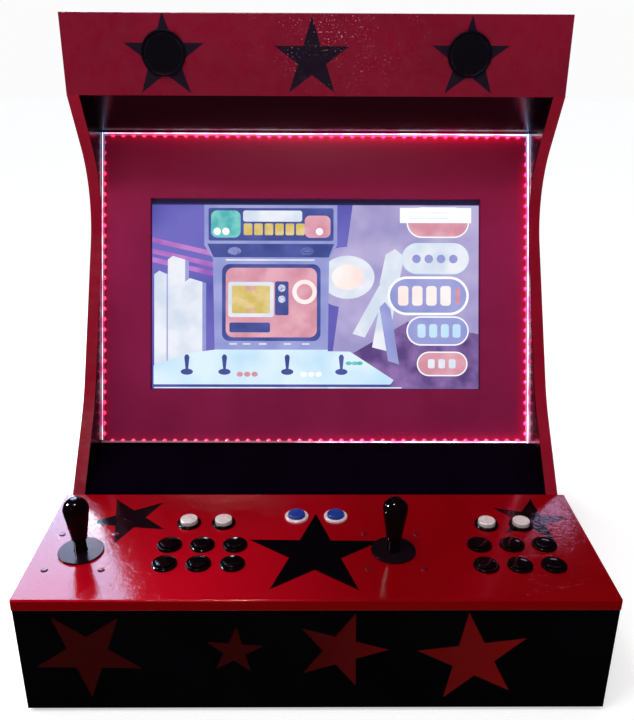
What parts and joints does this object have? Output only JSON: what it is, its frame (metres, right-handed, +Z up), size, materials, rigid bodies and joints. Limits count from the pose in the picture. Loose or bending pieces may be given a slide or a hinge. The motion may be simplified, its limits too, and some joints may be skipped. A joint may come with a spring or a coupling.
{
  "type": "bartop arcade cabinet",
  "caption": "Two-player bartop arcade cabinet: waisted sides, leaning bezel with a lit edge, control box with bat-top joysticks and push buttons, speaker marquee.",
  "frame": {"origin": "middle of the footprint, on the surface the rubber feet stand on", "axes": "+X to the player's right, +Y from the player towards the back, +Z up"},
  "size_m": [0.738, 0.6, 0.838],
  "materials": {
    "red_board": "red gloss paint on fibreboard",
    "black_board": "black gloss paint on fibreboard",
    "raw_board": "bare fibreboard",
    "black_plastic": "black moulded plastic",
    "matte_plastic": "black textured plastic",
    "grey_washer": "black polished plastic disc",
    "white_plastic": "white moulded plastic",
    "blue_plastic": "blue translucent plastic",
    "steel": "zinc-plated steel",
    "painted_steel": "steel under the panel's red paint",
    "speaker_metal": "black painted steel",
    "circuit": "green circuit board",
    "screen": "lit display glass",
    "light": "lit silicone cover, pink-red",
    "rubber": "matte rubber"
  },
  "bodies": {
    "cabinet": {"back_panel": "black_board", "base_panel": "raw_board", "bezel_panel": "red_board", "button_housings_play": "black_plastic", "button_housings_start": "white_plastic", "button_nuts": "matte_plastic", "computer_unit": "matte_plastic", "control_box_sides": "black_board", "control_front_panel": "black_board", "control_panel_top": "red_board", "encoder_boards": "circuit", "joystick_bases": "matte_plastic", "joystick_fasteners": "painted_steel", "led_strip": "light", "marquee_panel": "red_board", "marquee_soffit": "black_board", "microswitches": "matte_plastic", "monitor_back_shell": "matte_plastic", "monitor_frame": "matte_plastic", "monitor_mount_bars": "raw_board", "monitor_screen_panel": "screen", "panel_screws": "steel", "power_inlet": "black_plastic", "power_supply": "matte_plastic", "rear_deck": "black_board", "rubber_feet": "rubber", "side_panel_left": "red_board", "side_panel_right": "red_board", "speaker_grilles": "matte_plastic", "speakers": "speaker_metal", "top_panel": "red_board"},
    "p1_button_1_plunger": {"p1_button_1": "black_plastic"},
    "p1_button_2_plunger": {"p1_button_2": "black_plastic"},
    "p1_button_3_plunger": {"p1_button_3": "black_plastic"},
    "p1_button_4_plunger": {"p1_button_4": "black_plastic"},
    "p1_button_5_plunger": {"p1_button_5": "black_plastic"},
    "p1_button_6_plunger": {"p1_button_6": "black_plastic"},
    "p1_option_button_1_plunger": {"p1_option_button_1": "white_plastic"},
    "p1_option_button_2_plunger": {"p1_option_button_2": "white_plastic"},
    "p2_button_1_plunger": {"p2_button_1": "black_plastic"},
    "p2_button_2_plunger": {"p2_button_2": "black_plastic"},
    "p2_button_3_plunger": {"p2_button_3": "black_plastic"},
    "p2_button_4_plunger": {"p2_button_4": "black_plastic"},
    "p2_button_5_plunger": {"p2_button_5": "black_plastic"},
    "p2_button_6_plunger": {"p2_button_6": "black_plastic"},
    "p2_option_button_1_plunger": {"p2_option_button_1": "white_plastic"},
    "p2_option_button_2_plunger": {"p2_option_button_2": "white_plastic"},
    "start_button_1_plunger": {"start_button_1": "blue_plastic"},
    "start_button_2_plunger": {"start_button_2": "blue_plastic"},
    "joystick_left_pivot": {"joystick_left_gimbal": "matte_plastic"},
    "joystick_left_stick": {"joystick_left_shaft": "black_plastic", "joystick_left_bat": "black_plastic"},
    "joystick_left_under_washer": {"joystick_left_lower_washer": "grey_washer"},
    "joystick_left_top_washer": {"joystick_left_dust_washer": "grey_washer"},
    "joystick_right_pivot": {"joystick_right_gimbal": "matte_plastic"},
    "joystick_right_stick": {"joystick_right_shaft": "black_plastic", "joystick_right_bat": "black_plastic"},
    "joystick_right_under_washer": {"joystick_right_lower_washer": "grey_washer"},
    "joystick_right_top_washer": {"joystick_right_dust_washer": "grey_washer"},
    "power_switch": {"rocker_switch": "black_plastic"}
  },
  "joints": [
    {"name": "p1_button_1_press", "type": "slide", "parent": "cabinet", "child": "p1_button_1_plunger", "axis": [0, 0, -1], "range_m": [0, 0.003], "stiffness_N_per_m": 300, "springref_m": -0.002},
    {"name": "p1_button_2_press", "type": "slide", "parent": "cabinet", "child": "p1_button_2_plunger", "axis": [0, 0, -1], "range_m": [0, 0.003], "stiffness_N_per_m": 300, "springref_m": -0.002},
    {"name": "p1_button_3_press", "type": "slide", "parent": "cabinet", "child": "p1_button_3_plunger", "axis": [0, 0, -1], "range_m": [0, 0.003], "stiffness_N_per_m": 300, "springref_m": -0.002},
    {"name": "p1_button_4_press", "type": "slide", "parent": "cabinet", "child": "p1_button_4_plunger", "axis": [0, 0, -1], "range_m": [0, 0.003], "stiffness_N_per_m": 300, "springref_m": -0.002},
    {"name": "p1_button_5_press", "type": "slide", "parent": "cabinet", "child": "p1_button_5_plunger", "axis": [0, 0, -1], "range_m": [0, 0.003], "stiffness_N_per_m": 300, "springref_m": -0.002},
    {"name": "p1_button_6_press", "type": "slide", "parent": "cabinet", "child": "p1_button_6_plunger", "axis": [0, 0, -1], "range_m": [0, 0.003], "stiffness_N_per_m": 300, "springref_m": -0.002},
    {"name": "p1_option_button_1_press", "type": "slide", "parent": "cabinet", "child": "p1_option_button_1_plunger", "axis": [0, 0, -1], "range_m": [0, 0.003], "stiffness_N_per_m": 300, "springref_m": -0.002},
    {"name": "p1_option_button_2_press", "type": "slide", "parent": "cabinet", "child": "p1_option_button_2_plunger", "axis": [0, 0, -1], "range_m": [0, 0.003], "stiffness_N_per_m": 300, "springref_m": -0.002},
    {"name": "p2_button_1_press", "type": "slide", "parent": "cabinet", "child": "p2_button_1_plunger", "axis": [0, 0, -1], "range_m": [0, 0.003], "stiffness_N_per_m": 300, "springref_m": -0.002},
    {"name": "p2_button_2_press", "type": "slide", "parent": "cabinet", "child": "p2_button_2_plunger", "axis": [0, 0, -1], "range_m": [0, 0.003], "stiffness_N_per_m": 300, "springref_m": -0.002},
    {"name": "p2_button_3_press", "type": "slide", "parent": "cabinet", "child": "p2_button_3_plunger", "axis": [0, 0, -1], "range_m": [0, 0.003], "stiffness_N_per_m": 300, "springref_m": -0.002},
    {"name": "p2_button_4_press", "type": "slide", "parent": "cabinet", "child": "p2_button_4_plunger", "axis": [0, 0, -1], "range_m": [0, 0.003], "stiffness_N_per_m": 300, "springref_m": -0.002},
    {"name": "p2_button_5_press", "type": "slide", "parent": "cabinet", "child": "p2_button_5_plunger", "axis": [0, 0, -1], "range_m": [0, 0.003], "stiffness_N_per_m": 300, "springref_m": -0.002},
    {"name": "p2_button_6_press", "type": "slide", "parent": "cabinet", "child": "p2_button_6_plunger", "axis": [0, 0, -1], "range_m": [0, 0.003], "stiffness_N_per_m": 300, "springref_m": -0.002},
    {"name": "p2_option_button_1_press", "type": "slide", "parent": "cabinet", "child": "p2_option_button_1_plunger", "axis": [0, 0, -1], "range_m": [0, 0.003], "stiffness_N_per_m": 300, "springref_m": -0.002},
    {"name": "p2_option_button_2_press", "type": "slide", "parent": "cabinet", "child": "p2_option_button_2_plunger", "axis": [0, 0, -1], "range_m": [0, 0.003], "stiffness_N_per_m": 300, "springref_m": -0.002},
    {"name": "start_button_1_press", "type": "slide", "parent": "cabinet", "child": "start_button_1_plunger", "axis": [0, 0, -1], "range_m": [0, 0.003], "stiffness_N_per_m": 300, "springref_m": -0.002},
    {"name": "start_button_2_press", "type": "slide", "parent": "cabinet", "child": "start_button_2_plunger", "axis": [0, 0, -1], "range_m": [0, 0.003], "stiffness_N_per_m": 300, "springref_m": -0.002},
    {"name": "joystick_left_forward_back", "type": "hinge", "parent": "cabinet", "child": "joystick_left_pivot", "pos_m": [-0.3095, -0.2015, 0.154], "axis": [1, 0, 0], "range_deg": [-9, 9], "stiffness_Nm_per_rad": 0.6},
    {"name": "joystick_left_left_right", "type": "hinge", "parent": "joystick_left_pivot", "child": "joystick_left_stick", "pos_m": [-0.3095, -0.2015, 0.154], "axis": [0, 1, 0], "range_deg": [-9, 9], "stiffness_Nm_per_rad": 0.6},
    {"name": "joystick_left_under_washer_slide", "type": "slide", "parent": "cabinet", "child": "joystick_left_under_washer", "axis": [0, 1, 0], "range_m": [-0.004, 0.004]},
    {"name": "joystick_left_top_washer_slide", "type": "slide", "parent": "joystick_left_under_washer", "child": "joystick_left_top_washer", "axis": [1, 0, 0], "range_m": [-0.004, 0.004]},
    {"name": "joystick_right_forward_back", "type": "hinge", "parent": "cabinet", "child": "joystick_right_pivot", "pos_m": [0.1015, -0.2005, 0.154], "axis": [1, 0, 0], "range_deg": [-9, 9], "stiffness_Nm_per_rad": 0.6},
    {"name": "joystick_right_left_right", "type": "hinge", "parent": "joystick_right_pivot", "child": "joystick_right_stick", "pos_m": [0.1015, -0.2005, 0.154], "axis": [0, 1, 0], "range_deg": [-9, 9], "stiffness_Nm_per_rad": 0.6},
    {"name": "joystick_right_under_washer_slide", "type": "slide", "parent": "cabinet", "child": "joystick_right_under_washer", "axis": [0, 1, 0], "range_m": [-0.004, 0.004]},
    {"name": "joystick_right_top_washer_slide", "type": "slide", "parent": "joystick_right_under_washer", "child": "joystick_right_top_washer", "axis": [1, 0, 0], "range_m": [-0.004, 0.004]},
    {"name": "power_switch_rock", "type": "hinge", "parent": "cabinet", "child": "power_switch", "pos_m": [0.25, 0.2944, 0.123], "axis": [1, 0, 0], "range_deg": [0, 16]}
  ],
  "couplings": [
    {"joint": "joystick_left_under_washer_slide", "follows": "joystick_left_forward_back", "m_per_rad": -0.02395},
    {"joint": "joystick_left_top_washer_slide", "follows": "joystick_left_left_right", "m_per_rad": 0.02395},
    {"joint": "joystick_right_under_washer_slide", "follows": "joystick_right_forward_back", "m_per_rad": -0.02395},
    {"joint": "joystick_right_top_washer_slide", "follows": "joystick_right_left_right", "m_per_rad": 0.02395}
  ]
}
